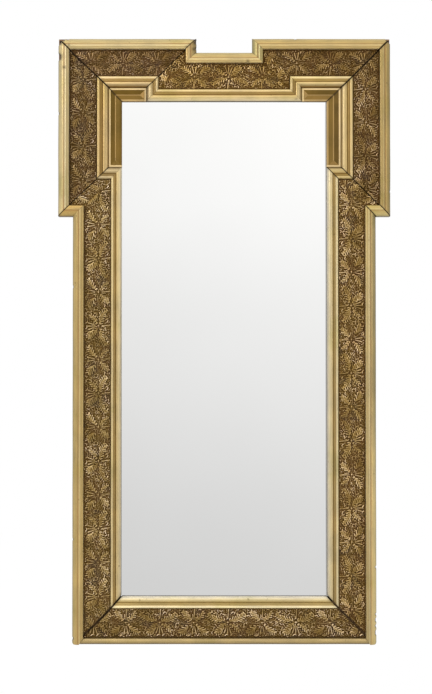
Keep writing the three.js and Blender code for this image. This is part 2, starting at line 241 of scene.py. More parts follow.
# The outer moulding's colours paint light and shade: darker towards the outer edge, a highlight on
# the bead's crown, the inner wall lighter to stand against its shade, and dark at the foot of that
# wall, where shade falls.
OUTER = Profile([
    (0, 12.6, 112, 101, 70),
    (0.3, 14, 142, 129, 91),
    (1.2, 16, 172, 156, 109),
    (3, 18.6, 190, 171, 119),
    (6, 21.9, 200, 177, 121),
    (9, 24.2, 200, 175, 118),
    (12, 25.8, 198, 172, 114),
    (14.2, 26.4, 194, 166, 110),
    (15.6, 26.5, 186, 157, 104),
    (16.6, 26.3, 178, 147, 96),
    (17.3, 26.5, 188, 158, 106),
    (18.1, 27.1, 206, 180, 126),
    (19.3, 28.1, 216, 192, 138),
    (20.6, 28.7, 212, 188, 134),
    (22.2, 28.8, 206, 182, 127),
    (23.6, 28.5, 200, 175, 118),
    (24.6, 28.1, 192, 166, 110),
    (25.5, 28, 195, 169, 113),
    (27, 27.8, 200, 175, 118),
    (28.4, 27.3, 199, 174, 116),
    (29.4, 26.7, 198, 172, 115),
    (29.95, 25.8, 226, 202, 146),
    (30.05, 20, 250, 228, 176),
    (30.1, 14.4, 236, 212, 158),
    (30.12, 13.2, 130, 100, 52),
    (30.14, 11, 50, 36, 16),
])
# The inner moulding's colours paint light and shade: dark at the foot of its outer wall, a
# highlight on the bead, darker in the quirks (dirt and painted shade), paler on the roll towards
# the glass, and a dark painted shadow at its lip by the glass.
INNER = Profile([
    (0, 11, 70, 52, 26),
    (0.04, 13.4, 124, 98, 54),
    (0.12, 15.6, 180, 154, 102),
    (0.8, 17.6, 208, 184, 130),
    (2.2, 18.9, 218, 194, 142),
    (4.4, 19.6, 222, 198, 147),
    (6.6, 19.4, 216, 190, 139),
    (8, 18.6, 200, 172, 119),
    (9, 17.5, 166, 137, 84),
    (10, 16.8, 148, 119, 66),
    (11.2, 16.8, 158, 130, 76),
    (12.8, 16.9, 166, 138, 84),
    (14.2, 16.2, 152, 124, 70),
    (15.4, 14.6, 140, 112, 60),
    (16.2, 14.1, 144, 116, 64),
    (17, 14.6, 176, 148, 94),
    (18, 15.4, 204, 176, 122),
    (19.6, 16.1, 212, 185, 131),
    (21.6, 16.4, 212, 186, 134),
    (24, 16.1, 211, 187, 137),
    (27, 15.1, 210, 188, 143),
    (29.5, 13.6, 210, 190, 151),
    (31.6, 11.5, 210, 193, 160),
    (33, 9.4, 200, 184, 154),
    (33.6, 8, 165, 150, 122),
    (33.85, 6.6, 110, 96, 70),
    (33.9, 5, 70, 58, 40),
    (33.92, 3, 50, 40, 28),
])
# The foot strip's colours paint shade: dark on its lower edge, which faces down, and at the foot of
# its inner wall.
STRIP = Profile([
    (0, 13.5, 78, 67, 45),
    (0.2, 16.5, 92, 80, 54),
    (0.9, 19.2, 106, 92, 62),
    (2.2, 21.6, 124, 107, 73),
    (4.2, 23.1, 152, 131, 88),
    (6.8, 23.9, 184, 160, 106),
    (9.5, 24, 196, 171, 113),
    (12, 23.8, 200, 175, 118),
    (14.2, 23, 206, 181, 125),
    (15.9, 21.6, 206, 182, 128),
    (17, 19.9, 184, 160, 106),
    (17.7, 17.8, 140, 116, 68),
    (17.8, 15, 92, 72, 36),
    (17.85, 11, 50, 36, 16),
])

# ---- gilding

BOLE = srgb(134, 94, 54)  # the red clay under the leaf
# Black of dirty joints, and of painted shade in gaps, hollows and the plate's margin.
DIRT_AND_SHADE_COLOUR = srgb(26, 17, 7)
GESSO = srgb(92, 84, 70)  # the bare ground in a chip, and dirty
SPECK = srgb(84, 64, 38)
OLIVE = srgb(226, 230, 200)  # multiplies the leaf in its cooler patches
DULL = 0.37  # how bright the ground between the frieze's leaves is, from 0 to 1


def gilding(name, bands, width, rubbed, leaf_metal=0.62):
    """Old water gilding: streaked leaf, bole where it has rubbed through, dirt and painted shade in
    the joints and hollows. bands are the leaf's colours by girth, with painted light and shade
    in them, and rubbed is the girths where the bole shows."""
    made, paint = material(name)
    course = paint.attribute("course", "Vector")
    girth = paint.node("SeparateXYZ", values={0: course}, output=1)
    streak = paint.noise(paint.stretched(course, (0.011, 0.42, 1)), 1, 4)
    patch = paint.spots(14, 3)
    fine = paint.spots(240, 2)
    wander = (paint.spots(30, 2) - 0.5) * 0.6
    leaf = paint.ramp((girth + wander) * (1 / width), bands)
    light = (streak - 0.5) * 0.95 + (patch - 0.5) * 0.6 + 1.0
    grey = paint.node("CombineColor", values={0: light, 1: light, 2: light * (1.1 - patch * 0.2)})
    leaf = paint.tint(leaf, grey)
    # Each length's tone, with painted light and shade in it.
    leaf = paint.tint(leaf, paint.attribute("tone", "Vector"))
    rub = 0.12
    for place, reach in rubbed:
        rub = 1.0 - (girth - place).math("ABSOLUTE").between(0.0, reach) + rub
    olive = paint.spots(9, 3).between(0.5, 0.68)
    leaf = paint.tint(leaf, OLIVE, olive * 0.5)
    worn = rub * (streak * 0.7 + patch * 0.5).between(0.54, 0.7)
    leaf = paint.mix(worn * 0.55, leaf, BOLE)
    specks = paint.spots(95, 1).between(0.73, 0.79)
    leaf = paint.mix(specks * 0.45, leaf, SPECK)
    chip = paint.attribute("chip")
    leaf = paint.mix(chip, leaf, GESSO)
    crack = paint.attribute("crack")
    leaf = paint.mix(crack, leaf, DIRT_AND_SHADE_COLOUR)
    bare = (worn * 0.5 + specks * 0.45 + chip + crack).math("MINIMUM", 1.0)
    relief = streak * 0.6 + fine * 0.25 + patch * 0.4
    paint.surface({
        "Base Color": leaf,
        "Metallic": (1 - bare) * leaf_metal,
        "Roughness": bare * 0.35 + (fine - 0.5) * 0.16 + (patch - 0.5) * 0.12 + 0.36,
        "Specular IOR Level": 0.12,
        "Normal": paint.bump(relief, 0.35, 0.0006),
    })
    return made


FOLIAGE_BANDS = [
    (0.0, srgb(56, 37, 2)),
    (0.2, srgb(84, 61, 18)),
    (0.4, srgb(110, 86, 42)),
    (0.55, srgb(140, 115, 72)),
    (0.75, srgb(182, 156, 112)),
    (1.0, srgb(228, 204, 176)),
]
FOLIAGE_GREEN = srgb(108, 100, 44)
FOLIAGE_PLUM = srgb(94, 64, 42)
FOLIAGE_SLATE = srgb(64, 58, 52)
GROUND_CAST = (1.0, 0.985, 1.03, 1)  # what multiplies the ground's colour, and the leaves'
LEAF_CAST = (1.05, 1.02, 0.85, 1)


def foliage_gilding():
    """Bronze powder over pressed foliage: dirt and painted shade round the leaves, and rubbed
    gold and painted highlights on them.
    """
    made, paint = material("gilt_foliage")
    glow = paint.attribute("glow")
    patch = paint.spots(26, 3)
    fine = paint.spots(420, 2)
    rubbed = paint.spots(17, 3).between(0.36, 0.64) * 0.6 + 0.7
    mottle = paint.spots(170, 1)
    level = (glow - DULL) * rubbed + (patch - 0.5) * 0.16 + (fine - 0.5) * 0.4 + DULL
    level = (mottle - 0.5) * 0.3 + level
    colour = paint.ramp(level, FOLIAGE_BANDS)
    green = paint.spots(24, 2).between(0.5, 0.66)
    colour = paint.mix(green * 0.32, colour, FOLIAGE_GREEN, "OVERLAY")
    plum = paint.spots(33, 2).between(0.42, 0.6) * (1 - level)
    colour = paint.mix(plum * 0.45, colour, FOLIAGE_PLUM)
    slate = paint.spots(21, 2).between(0.54, 0.66) * (1 - level)
    colour = paint.mix(slate * 0.45, colour, FOLIAGE_SLATE)
    warmth = paint.mix(paint.attribute("leafy"), GROUND_CAST, LEAF_CAST)
    colour = paint.tint(colour, warmth)
    # Each band's tone, with painted light and shade in it.
    colour = paint.tint(colour, paint.attribute("tone", "Vector"))
    crack = paint.attribute("crack")
    colour = paint.mix(crack, colour, DIRT_AND_SHADE_COLOUR)
    paint.surface({
        "Base Color": colour,
        "Metallic": (1 - crack) * (level * 0.2 + 0.6),
        "Roughness": 0.56 - level * 0.16 + (fine - 0.5) * 0.1,
        "Specular IOR Level": 0.08,
        "Normal": paint.bump(fine, 0.4, 0.0006),
    })
    return made


# The panels are coloured by painted light and shade: a shade from 0, dark, to 1, lit, picks a
# colour of PANEL_BANDS.
SHADES = 30  # the girth that the panels' shades, from 0 to 1, are stretched to
PANEL_BANDS = [
    (0.0, srgb(80, 60, 14)),
    (0.2, srgb(104, 81, 28)),
    (0.4, srgb(132, 104, 54)),
    (0.6, srgb(160, 131, 82)),
    (0.8, srgb(190, 163, 112)),
    (1.0, srgb(228, 200, 148)),
]

gilt_outer = gilding("gilt_outer", OUTER.bands, OUTER.girth[-1], [
    (OUTER.at(1.0), 2.5), (OUTER.at(16.4), 3.0), (OUTER.at(24.8), 1.4)])
quirks = [(INNER.at(9.6), 1.4), (INNER.at(15.4), 1.6)]
# Painted shade on the inner moulding's broad roll: darker beside the sunk panels, most of all
# above the level ones, where it faces down, and along the foot darker from the glass towards
# the quirk.
gilt_inner, gilt_inner_upright_shade, gilt_inner_level_shade, gilt_inner_base_shade = (
    gilding(name, bands, INNER.girth[-1], quirks) for name, bands in (
        ("gilt_inner", INNER.bands),
        ("gilt_inner_upright_shade", INNER.painted_shading(25, 34, srgb(166, 138, 84))),
        ("gilt_inner_level_shade", INNER.painted_shading(19, 31, srgb(112, 84, 34))),
        ("gilt_inner_base_shade", INNER.painted_shading(29, 18, srgb(158, 130, 74)))))
gilt_strip = gilding("gilt_strip", STRIP.bands, STRIP.girth[-1], [(STRIP.at(1.0), 3.0)])
gilt_panel = gilding("gilt_panel", PANEL_BANDS, SHADES, [], 0.3)
gilt_foliage = foliage_gilding()

# ---- plate, pine and metal

# In metres, where the painted shade along the glass's edges, under the moulding's lip, and the
# black margin behind the moulding begin and are full. The margin is measured from the middle.
LIP_SHADE_RIGHT = (0.2872, 0.2888)
LIP_SHADE_TOP = (0.6748, 0.6762)
LIP_SHADE_FOOT = (0.7198, 0.7212)
HIDDEN_SIDE = (0.2912, 0.2918)
HIDDEN_END = (0.6992, 0.6998)
SIGHT_MIDDLE = -0.022  # the height of the middle of the glass that shows


def silvered_glass():
    """A silvered plate, a little dulled and with painted shade of the moulding's lip along its
    right, top and foot edges, and painted black behind the moulding, as shade where the mitre
    gaps show it.
    """
    made, paint = material("silvered_glass")
    place = paint.place()
    cloud = paint.noise(place, 2.2, 2)
    fleck = paint.noise(place, 180, 2).between(0.68, 0.74)
    x, z = (paint.node("SeparateXYZ", values={0: place}, output=axis) for axis in (0, 2))
    right = (x + cloud * 0.003).between(*LIP_SHADE_RIGHT) * 0.8
    top = (z + cloud * 0.002).between(*LIP_SHADE_TOP) * 0.9
    foot = (cloud * 0.002 - z).between(*LIP_SHADE_FOOT) * 0.5
    lip_shade = right.math("MAXIMUM", top).math("MAXIMUM", foot)
    clear = paint.mix(cloud.between(0.3, 0.7), srgb(249, 249, 248), srgb(251, 251, 250))
    silver = paint.mix(lip_shade * (fleck * 0.3 + 0.7), clear, srgb(104, 94, 76))
    # Painted black past the sight edges, as shade where the mitre gaps show the plate.
    past_side = x.math("ABSOLUTE").between(*HIDDEN_SIDE)
    past_end = (z - SIGHT_MIDDLE).math("ABSOLUTE").between(*HIDDEN_END)
    hidden = past_side.math("MAXIMUM", past_end)
    paint.surface({
        "Base Color": paint.mix(hidden, silver, DIRT_AND_SHADE_COLOUR),
        "Metallic": 1.0 - hidden,
        "Roughness": lip_shade * 0.2 + hidden * 0.6 + 0.015,
        "Specular IOR Level": 0.05,
    })
    return made


def grained(grain, along, across):
    """A stretch along the axis of the grain, and the same one along the other two."""
    return tuple(along if axis == grain else across for axis in range(3))


def pine(name, grain, colour):
    """Bare old softwood, its grain along one axis, with darker late wood, knots and dust."""
    made, paint = material(name)
    place = paint.place()
    along = grained(grain, 1.3, 26.0)
    drift = paint.noise(place, 3, 2)
    rings = paint.noise(paint.stretched(place, along), 1, 5, 0.6)
    waves = ((rings + drift * 0.4) * 34.0).math("SINE") * 0.5 + 0.5
    pores = paint.noise(paint.stretched(place, tuple(3 * s for s in along)), 4, 2)
    base = srgb(*colour)
    late = srgb(*(value * 0.62 for value in colour))
    wood = paint.mix(waves * 0.55 + (pores - 0.5) * 0.5, base, late)
    knots = paint.node("TexVoronoi", {"feature": "F1"}, {
        "Vector": paint.stretched(place, grained(grain, 2.2, 5.0)), "Scale": 1.0})
    wood = paint.mix((1 - knots.between(0.05, 0.16)) * 0.8, wood, srgb(58, 36, 20))
    dust = paint.noise(place, 7, 4, 0.7).between(0.42, 0.75)
    wood = paint.mix(dust * 0.42, wood, srgb(128, 116, 98))
    paint.surface({
        "Base Color": wood,
        "Roughness": 0.86 - waves * 0.12,
        "Normal": paint.bump(waves * 0.5 + pores * 0.5, 0.4, 0.0008),
    })
    return made


def old_metal(name, colour, dark, metallic):
    """Handled metal: brighter where it rubs, dull and brown elsewhere."""
    made, paint = material(name)
    place = paint.place()
    tarnish = paint.noise(place, 160, 4, 0.65).between(0.35, 0.7)
    scratch = paint.noise(paint.stretched(place, (900, 900, 120)), 1, 2)
    paint.surface({
        "Base Color": paint.mix(tarnish, srgb(*colour), srgb(*dark)),
        "Metallic": (1 - tarnish * 0.5) * metallic,
        "Roughness": tarnish * 0.25 + scratch * 0.2 + 0.28,
        "Normal": paint.bump(scratch, 0.2, 0.0002),
    })
    return made


plate_finish = silvered_glass()
board_pine = pine("board_pine", 0, (150, 112, 72))
rail_pine = pine("rail_pine", 0, (136, 100, 62))
stile_pine = pine("stile_pine", 2, (138, 102, 64))
old_brass = old_metal("old_brass", (190, 154, 88), (92, 70, 38), 0.95)
old_iron = old_metal("old_iron", (96, 88, 82), (58, 44, 36), 0.8)

# ---- meshes

# The old frame is not quite true. How far its face stands off the drawn lines, at places
# across it and at places up it.
SETTLED_ACROSS = (
    [-470, -441, -428, -399, -364, -330, -322, -288, 0, 288, 322, 428, 470],
    [1.1, 2.3, 0.8, 2.0, 4.2, 4.0, 2.4, -1.7, 0.2, 2.0, 0.2, -0.3, -0.7],
)
SETTLED_UP = ([-855, -720, 676, 715, 749, 816, 855], [1.0, 0.0, 0.0, -1.0, -2.8, -3.0, -2.8])


def settle(points):
    across = points[:, 0] + np.interp(points[:, 0], *SETTLED_ACROSS)
    up = points[:, 2] + np.interp(points[:, 2], *SETTLED_UP)
    return np.stack([across, points[:, 1], up], axis=-1)


def add_mesh(name, node, points, faces, finish, attributes, sharp):
    """A closed mesh of the face, from points in millimetres, in a node's place. sharp is the
    least angle of a sharp edge."""
    mesh = bpy.data.meshes.new(name)
    mesh.from_pydata((settle(points) * MM).tolist(), [], faces)
    mesh.polygons.foreach_set("use_smooth", [True] * len(mesh.polygons))
    mesh.set_sharp_from_angle(angle=math.radians(sharp))
    for key, values in attributes.items():
        values = np.asarray(values, np.float32)
        kind, field = ("FLOAT", "value") if values.ndim == 1 else ("FLOAT_VECTOR", "vector")
        layer = mesh.attributes.new(key, kind, "POINT")
        layer.data.foreach_set(field, values.ravel())
    mesh.materials.append(finish)
    piece = place_in_scene(name, mesh)
    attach(piece, FRAME_BODY)
    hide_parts(node)


def ripple(seed, reach, count=5):
    """A smooth wobble between 0 and 1 along a length."""
    rng = np.random.default_rng(seed)
    turns = rng.uniform(0.5, 2.0, count) * 2 * math.pi / reach
    starts = rng.uniform(0, 2 * math.pi, count)

    def at(place):
        waves = sum(np.sin(turn * place + start) for turn, start in zip(turns, starts))
        return 0.5 + waves / (2 * count)

    return at


def directions(start, end):
    """A line's start, its length, the way along it and the way to its left."""
    start = np.array(start, float)
    step = np.array(end, float) - start
    length = np.hypot(*step)
    ahead = step / length
    return start, length, ahead, np.array([-ahead[1], ahead[0]])


def smooth_step(value, low, high):
    share = np.clip((value - low) / (high - low), 0, 1)
    return share * share * (3 - 2 * share)


# ---- runs of moulding
# A run goes anticlockwise round the glass through stops. Each is a point (x, z) with the line
# that the section lies on there: how far on it is at each place across.

NEAR_END = [0, 0.6, 1.3, 2.6]  # rings close to a mitre, so that its dirt stays narrow
NO_BEND = 99.0  # how far off a bend is said to be where there is none


def mitre(slope, width):
    stand_off = width / 2 * math.hypot(1, slope)
    return lambda across: slope * across + stand_off


def ring_places(low, high, step, first, last):
    """Where the rings lie along one straight length, at each place across."""
    near = NEAR_END if first else [0]
    far = NEAR_END if last else [0]
    count = max(2, round(float(np.mean(high - low)) / step))
    shares = np.linspace(0, 1, count + 1)[1:-1, None]
    middle = low + near[-1] + shares * (high - low - near[-1] - far[-1])
    start = low + np.array(near)[:, None]
    end = high - np.array(far[::-1])[:, None]
    return np.concatenate([start, middle, end] if first else [middle, end])


def run_faces(rings, count):
    """Quads round a closed section from ring to ring, and a cap at each end."""
    ring = np.arange(rings - 1)[:, None] * count
    step = np.arange(count)[None, :]
    low, high = ring + step, ring + (step + 1) % count
    quads = np.stack([low, high, high + count, low + count], axis=-1).reshape(-1, 4)
    last = (rings - 1) * count
    return quads.tolist() + [list(range(count))[::-1], list(range(last, last + count))]


def dirt(distance, width):
    """How black a joint is at a distance from it: wide joints hold the most dirt."""
    return min(1.0, 0.4 + 0.5 * width) * np.exp(-distance / (0.25 + 0.28 * width))


def add_run(name, node, route, start, shape, step, finish, work, seed, tone, sharp=35):
    """Sweeps a front, given with its girth, along a route: stops, and how wide the joints at
    its ends are. The back is flat. work reshapes the front and says how it is worn and
    coloured, painted light and shade among it."""
    stops, widths = route
    front, girth = shape
    local = np.append(front[:, 0], [front[-1, 0], front[0, 0]])
    round_it = np.append(girth, [girth[-1], girth[0]])
    rest = np.append(front[:, 1], [0, 0])
    at_front = np.append(np.ones(len(front)), [0, 0])
    across = local + start
    rows = []
    for i in range(len(stops) - 1):
        (at, line), (to, last_line) = stops[i], stops[i + 1]
        at, length, ahead, inward = directions(at, to)
        first, last = i == 0, i == len(stops) - 2
        low, high = line(across), length - last_line(across)
        on = ring_places(low, high, step, first, last)
        from_low, from_high = (on - low) / math.sqrt(2), (high - on) / math.sqrt(2)
        height = np.zeros_like(on) + rest
        side = np.zeros_like(on)
        facts = {
            "along": on + at @ ahead,
            "local": np.broadcast_to(local, on.shape),
            "from_bend": np.full_like(on, NO_BEND) if first else from_low,
            "to_bend": np.full_like(on, NO_BEND) if last else from_high,
            "segment": i,
            "at_front": at_front,
            "seed": seed,
        }
        shown = work(height, side, facts)
        plan = at + on[..., None] * ahead + (across + side)[..., None] * inward
        if first:
            shown["crack"] = np.maximum(shown["crack"], dirt(from_low, widths[0]))
        if last:
            shown["crack"] = np.maximum(shown["crack"], dirt(from_high, widths[1]))
        place = np.broadcast_to(round_it, on.shape)
        shown["course"] = np.stack([facts["along"], place, np.full_like(on, seed * 7.3)], axis=-1)
        light = shown.pop("light", np.ones_like(on))
        shown["tone"] = light[..., None] * np.array(tone, float)
        shown["point"] = np.stack([plan[..., 0], FACE_BACK - height, plan[..., 1]], axis=-1)
        rows.append(shown)
    merged = {key: np.concatenate([row[key] for row in rows]) for key in rows[0]}
    rings, count = merged["crack"].shape
    points = merged.pop("point").reshape(-1, 3)
    attributes = {key: values.reshape(-1, *values.shape[2:]) for key, values in merged.items()}
    add_mesh(name, node, points, run_faces(rings, count), finish, attributes, sharp)


# ---- pressed foliage
# One repeat of the mould, in millimetres along and in from the outer moulding.

REPEAT = 190.0
GRAIN = 0.5
SOFTENING = 2.0  # how far the dirt and painted shade round a stroke spread
LOBE_STEP = 6.4  # from one lobe of a leaf to the next


class Mould:
    """The height and brightness of one repeat, built up from rounded strokes."""

    def __init__(self):
        self.along = np.arange(0, REPEAT, GRAIN)[:, None]
        self.across = np.arange(0, FRIEZE_WIDTH + GRAIN, GRAIN)[None, :]
        self.height = np.zeros((self.along.size, self.across.size))
        self.shine = np.full_like(self.height, 0.35)
        self.random = np.random.default_rng(11)

    def stroke(self, start, end, girths, rise, shine):
        """A rounded stroke between two points, with a girth at each."""
        (u0, v0), (u1, v1) = start, end
        g0, g1 = girths
        middle = (u0 + u1) / 2
        u = (self.along - middle + REPEAT / 2) % REPEAT - REPEAT / 2 + middle
        du, dv = u1 - u0, v1 - v0
        share = ((u - u0) * du + (self.across - v0) * dv) / (du * du + dv * dv)
        share = np.clip(share, 0, 1)
        distance = np.hypot(u - u0 - share * du, self.across - v0 - share * dv)
        girth = g0 + share * (g1 - g0)
        dome = rise * np.sqrt(np.clip(1 - (distance / girth) ** 2, 0, 1))
        above = dome > self.height
        self.height = np.where(above, dome, self.height)
        self.shine = np.where(above, shine, self.shine)

    def line(self, points, girths, rise, shine):
        """A stroke through several points, its girth changing evenly from end to end."""
        sizes = np.linspace(*girths, len(points))
        for i in range(len(points) - 1):
            self.stroke(points[i], points[i + 1], sizes[i:i + 2], rise, shine)

    def arc(self, centre, radius, angles, girths, rise, shine, steps=10):
        turns = np.radians(np.linspace(*angles, steps + 1))
        points = [(centre[0] + radius * math.cos(t), centre[1] + radius * math.sin(t))
                  for t in turns]
        self.line(points, girths, rise, shine)

    def blade(self, base, tip, width, bow=0.0, rise=3.2, shine=0.9):
        """A leaf that swells and comes to a point: a low body, lobes on both sides of it that
        slant forwards, and a rib. bow bends it."""
        base, length, ahead, side = directions(base, tip)
        count = max(3, round(length / LOBE_STEP))
        shares = np.linspace(0, 1, count + 1)
        spine = [base + ahead * length * share + side * bow * length * 4 * share * (1 - share)
                 for share in shares]
        girths = [width / 2 * (0.25 + 0.75 * math.sin(math.pi * share ** 0.75)) for share in shares]
        for i in range(count):
            body = [girth * 0.72 for girth in girths[i:i + 2]]
            self.stroke(spine[i], spine[i + 1], body, rise * 0.66, shine * 0.85)
        for i in range(count):
            for hand in (-1, 1):
                reach = (girths[i] + 1.6) * self.random.uniform(0.75, 1.25)
                root = spine[i] + side * hand * 1.1
                end = spine[i] + ahead * reach * 0.9 + side * hand * reach
                gold = shine * self.random.uniform(0.75, 1.15)
                self.stroke(root, end, (1.5, 2.1), rise * self.random.uniform(0.75, 1.0), gold)
        self.line(spine[1:], (1.3, 1.0), rise * 0.9, shine)

    def fan(self, centre, reach, angles, count, girths, shine, rise=2.4):
        """Teardrop rays round a point."""
        for turn in np.radians(np.linspace(*angles, count)):
            way = np.array([math.cos(turn), math.sin(turn)])
            start, end = (np.array(centre) + way * r for r in reach)
            self.stroke(start, end, girths, rise, shine)

    def finish(self):
        """Rubs the tops bright and leaves dirt round every stroke, with painted shade in the
        hollows round it and a painted highlight along its crown.
        """
        margin = round(3.5 * SOFTENING / GRAIN)
        reach = np.arange(-margin, margin + 1)
        weights = np.exp(-((reach * GRAIN / SOFTENING) ** 2) / 2)
        weights /= weights.sum()
        soft = sum(w * np.roll(self.height, k, axis=0) for k, w in zip(reach, weights))
        padded = np.pad(soft, ((0, 0), (margin, margin)), mode="edge")
        width = soft.shape[1]
        soft = sum(w * padded[:, margin + k:margin + k + width] for k, w in zip(reach, weights))
        body = np.clip(self.height / 3.0, 0, 1)
        stands_out = np.clip((self.height - soft) / 1.3, -0.8, 0.75)
        self.glow = DULL + 0.42 * stands_out + body * (self.shine - 0.4) * 0.5
        self.leafy = np.clip((soft - 0.8) / 0.9, 0, 1)


def sample(field, u, v):
    """One of the mould's fields at any places."""
    i = (u / GRAIN) % field.shape[0]
    j = np.clip(v / GRAIN, 0, field.shape[1] - 1.001)
    i0, j0 = np.floor(i).astype(int) % field.shape[0], np.floor(j).astype(int)
    i1, j1 = (i0 + 1) % field.shape[0], j0 + 1
    fi, fj = i - np.floor(i), j - j0
    low = field[i0, j0] * (1 - fj) + field[i0, j1] * fj
    high = field[i1, j0] * (1 - fj) + field[i1, j1] * fj
    return low * (1 - fi) + high * fi


KNOTS = [(0, 40), (95, 39)]  # the places on the stem that the leaves spring from


def draw_stem(mould):
    """The stem along the middle, with its knots."""
    points = [(0, 40), (16, 43), (34, 45), (52, 42), (72, 36), (95, 39)]
    points += [(112, 43), (130, 44.5), (148, 41), (166, 36), (180, 37), (190, 40)]
    mould.line(points, (1.3, 1.3), 1.9, 0.5)
    for u, v in KNOTS:
        mould.stroke((u, v), (u + 0.01, v), (2.8, 2.8), 2.8, 0.8)


def draw_inner_leaves(mould):
    """The long leaves between the stem and the inner moulding, a hook and two rays."""
    mould.blade((5, 45), (45, 63), 15, bow=-0.12)
    mould.arc((41, 57), 8.0, (-20, 80), (2.6, 1.4), 2.8, 0.8)
    mould.blade((-9, 46), (-58, 62), 12, bow=0.1, shine=0.8)
    mould.blade((88, 46), (62, 70), 10, shine=1.0)
    mould.blade((101, 45), (123, 70), 9, bow=-0.1, shine=0.85)
    mould.stroke((96, 47), (97, 73), (1.4, 2.6), 2.4, 0.8)
    mould.stroke((0, 49), (2, 73), (1.4, 2.4), 2.4, 0.75)


def draw_outer_leaves(mould):
    """The slighter leaves between the stem and the outer moulding, rays and small curls."""
    mould.blade((6, 35), (33, 13), 8, bow=0.1, shine=0.85)
    mould.fan((0, 38), (8, 27), (-112, -72), 3, (1.4, 2.4), 0.7)
    mould.blade((-7, 35), (-31, 16), 7, bow=-0.1, shine=0.65)
    mould.blade((102, 34), (136, 12), 11, bow=-0.1, shine=0.95)
    mould.fan((95, 37), (8, 28), (-100, -76), 2, (1.4, 2.6), 0.8)
    mould.blade((78, 30), (52, 12), 15, bow=0.14, shine=0.75)
    mould.arc((67, 17), 4.0, (120, 300), (1.6, 1.4), 2.2, 0.5)
    mould.blade((178, 27), (152, 12), 11, bow=0.16, shine=0.9)
    mould.arc((50, 33), 5.5, (100, 300), (1.6, 1.4), 2.4, 0.7)
    mould.arc((150, 52), 6.0, (-60, 120), (1.8, 1.4), 2.4, 0.75)
    mould.arc((30, 30), 5.0, (-30, 160), (1.5, 1.5), 2.2, 0.6)


def fill_ground(mould, tries, sizes, girths, room):
    """Tries to lay curling sprigs that lean away from the nearest knot. sizes and girths are
    the least and the most, and room is what is kept bare beside each."""
    rng = mould.random
    for _ in range(tries):
        start = rng.uniform((0, 3), (REPEAT, FRIEZE_WIDTH - 3))
        away = [((start[0] - u + REPEAT / 2) % REPEAT - REPEAT / 2, start[1] - v) for u, v in KNOTS]
        du, dv = min(away, key=lambda gap: math.hypot(*gap))
        turn = math.atan2(dv, du) + rng.normal(0, 0.9)
        size = rng.uniform(*sizes)
        girth = rng.uniform(*girths)
        bright = rng.uniform(0.1, 1.1)
        way = np.array([math.cos(turn), math.sin(turn)])
        beside = np.array([-way[1], way[0]])
        middle = start + way * size * 0.5 + beside * rng.choice((-0.3, 0.3)) * size
        end = start + way * size
        places = np.linspace(-0.1, 1.1, 7)[:, None] * (end - start) + start
        places = np.concatenate([places, places + beside * room, places - beside * room])
        heights = sample(mould.height, places[:, 0], places[:, 1])
        if heights.max() < 0.9 and 2.5 < end[1] < FRIEZE_WIDTH - 2.5:
            mould.line([start, middle, end], (girth * 0.6, girth), 1.5 + bright, bright)


mould = Mould()
draw_stem(mould)
draw_outer_leaves(mould)
draw_inner_leaves(mould)
fill_ground(mould, 3000, (6.0, 11.0), (1.5, 2.3), 1.9)
fill_ground(mould, 4500, (2.6, 5.5), (1.2, 1.9), 1.5)
mould.finish()

# Which way the pattern runs on each straight length of a band, and its shift, by its seed.
PRESSED = {
    10: [(-1, -283), (1, 40)],
    11: [(-1, -240)],
    12: [(1, -271)],
    13: [(-1, 30), (1, 12), (-1, 55)],
    14: [(1, 96)],
    15: [(-1, 22)],
    16: [(1, 140), (-1, -230)],
    17: [(1, -10)],
}
# How strongly the leaves stand out on the bands where they stand out less than on the others.
LEAVES_STAND_OUT = {11: 0.85, 12: 0.68, 14: 0.64, 15: 0.8, 16: 0.88}
# Splits across a band: the place along, and from where to where across.
SPLITS = {11: [(425, 54, 76)]}


def press(height, side, facts):
    """Stands the foliage up on a frieze band, and lets it fade where a band turns a corner."""
    sign, shift = PRESSED[facts["seed"]][facts["segment"]]
    along, local = facts["along"], facts["local"]
    width = local.max()
    u, v = along * sign + shift, local * FRIEZE_WIDTH / width
    worn_down = smooth_step(facts["from_bend"], 0, 5) * smooth_step(facts["to_bend"], 0, 5)
    fade = 0.55 + 0.45 * worn_down
    border = smooth_step(local, 0.6, 2.4) * smooth_step(width - local, 0.6, 2.4)
    height += sample(mould.height, u, v) * fade * border * facts["at_front"]
    contrast = LEAVES_STAND_OUT.get(facts["seed"], 1.0)
    glow = DULL + (sample(mould.glow, u, v) - DULL) * fade * border * contrast
    glow += 0.1 * (1 - border) - 0.06 * (1 - worn_down)
    # Darker along both edges, where the band meets the mouldings: joint dirt and painted shade.
    crack = np.maximum(0.25 * np.exp(-local / 0.8), 0.5 * np.exp(-(width - local) / 0.8))
    for place, low, high in SPLITS.get(facts["seed"], []):
        inside = smooth_step(local, low, low + 4) * smooth_step(-local, -high, -high + 3)
        crack = np.maximum(crack, inside * np.exp(-((along - place) / 1.3) ** 2))
    leafy = sample(mould.leafy, u, v) * fade
    return {"glow": glow, "leafy": leafy, "crack": crack}


# ---- wear on the mouldings

# Chips out of an outer edge: the place along, the half length and the depth.
CHIPS = {
    "right_stile": [(-822, 8, 3), (-803, 5, 2.2), (-786, 7, 2.6), (-770, 4, 1.8),
                    (-638, 4, 2.2)],
    "left_stile": [(838, 5, 1.8), (560, 4, 1.4), (-150, 5, 1.2)],
    "top_left": [(463, 13, 6.5), (444, 5, 2.4), (88, 8, 2.4)],
    "left_ear": [(-848, 13, 6.5), (-803, 11, 4.5), (-640, 4, 1.6)],
    "notch_left": [(846, 7, 3), (828, 4, 1.6)],
    "right_ear": [(420, 4, 1.4), (849, 9, 5)],
    "top_right": [(-465, 9, 5), (-200, 5, 1.2)],
}
